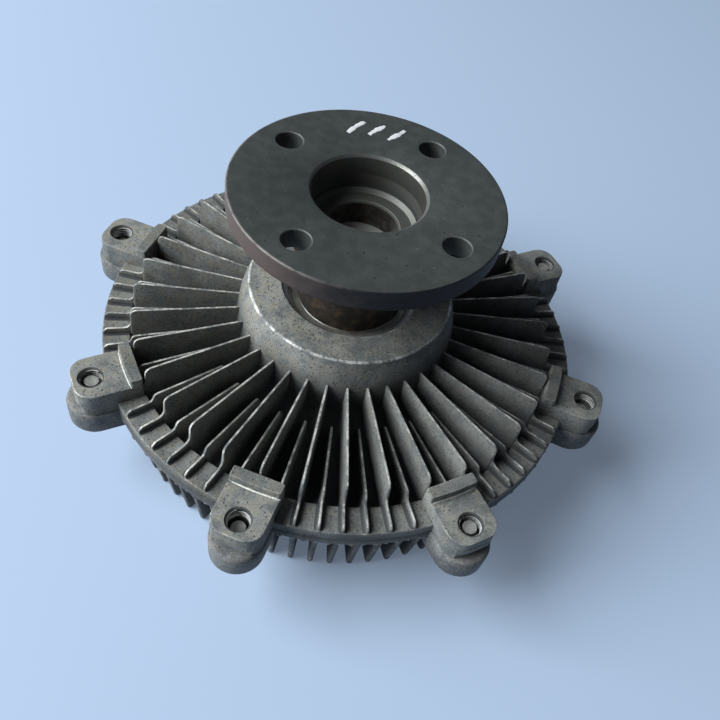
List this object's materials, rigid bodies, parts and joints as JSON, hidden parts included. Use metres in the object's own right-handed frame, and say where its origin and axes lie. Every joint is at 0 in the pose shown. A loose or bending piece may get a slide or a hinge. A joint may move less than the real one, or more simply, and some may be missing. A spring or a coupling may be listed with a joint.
{
  "type": "viscous fan clutch",
  "caption": "Finned aluminium viscous fan clutch with a bolted steel drive flange, lugs for a fan ring and a bimetal coil that works its inner valve.",
  "frame": {"origin": "on the spin axis, at the feet of the front cover's fins, on which the clutch stands", "axes": "+Z along the spin axis towards the drive flange; +X through one of the lugs"},
  "size_m": [0.1922, 0.1922, 0.095],
  "materials": {
    "hub_steel": "dark oxidised turned steel with rust and worn edges",
    "rotor_alloy": "turned alloy",
    "bearing_steel": "ground bearing steel",
    "cage_brass": "pressed brass",
    "seal_steel": "dull pressed steel ring",
    "rubber": "oil-proof rubber",
    "housing_casting": "weathered sand-grey casting with dirt in the channels",
    "cover_casting": "weathered darker casting",
    "screw_steel": "dull zinc",
    "plate_steel": "stamped sheet steel",
    "shaft_steel": "ground steel",
    "coil_strip": "heat-toned strip"
  },
  "bodies": {
    "housing": {"rear_housing": "housing_casting", "front_cover": "cover_casting", "cover_seal_ring": "rubber", "cover_screws": "screw_steel", "cover_screw_washers": "screw_steel", "separator_plate": "plate_steel", "separator_screws": "screw_steel", "bearing_outer_race": "bearing_steel", "bearing_rear_seal": "seal_steel", "bearing_front_seal": "rubber", "valve_shaft_seal": "rubber", "bimetal_coil": "coil_strip"},
    "hub": {"drive_hub": "hub_steel", "rotor_disc": "rotor_alloy", "bearing_inner_race": "bearing_steel"},
    "ball_set": {"bearing_balls": "bearing_steel", "bearing_cage": "cage_brass"},
    "valve": {"valve_shaft": "shaft_steel", "valve_arm": "plate_steel", "valve_shaft_clip": "screw_steel"}
  },
  "joints": [
    {"name": "hub_spin", "type": "hinge", "parent": "housing", "child": "hub", "pos_m": [0, 0, 0.0445], "axis": [0, 0, 1], "continuous": true},
    {"name": "cage_spin", "type": "hinge", "parent": "housing", "child": "ball_set", "pos_m": [0, 0, 0.0445], "axis": [0, 0, 1], "continuous": true},
    {"name": "valve_turn", "type": "hinge", "parent": "housing", "child": "valve", "pos_m": [0, 0, 0.009], "axis": [0, 0, 1], "range_deg": [0, 35], "stiffness_Nm_per_rad": 0.02, "deforming": ["bimetal_coil"]}
  ],
  "couplings": [
    {"joint": "cage_spin", "follows": "hub_spin", "ratio": 0.4}
  ]
}
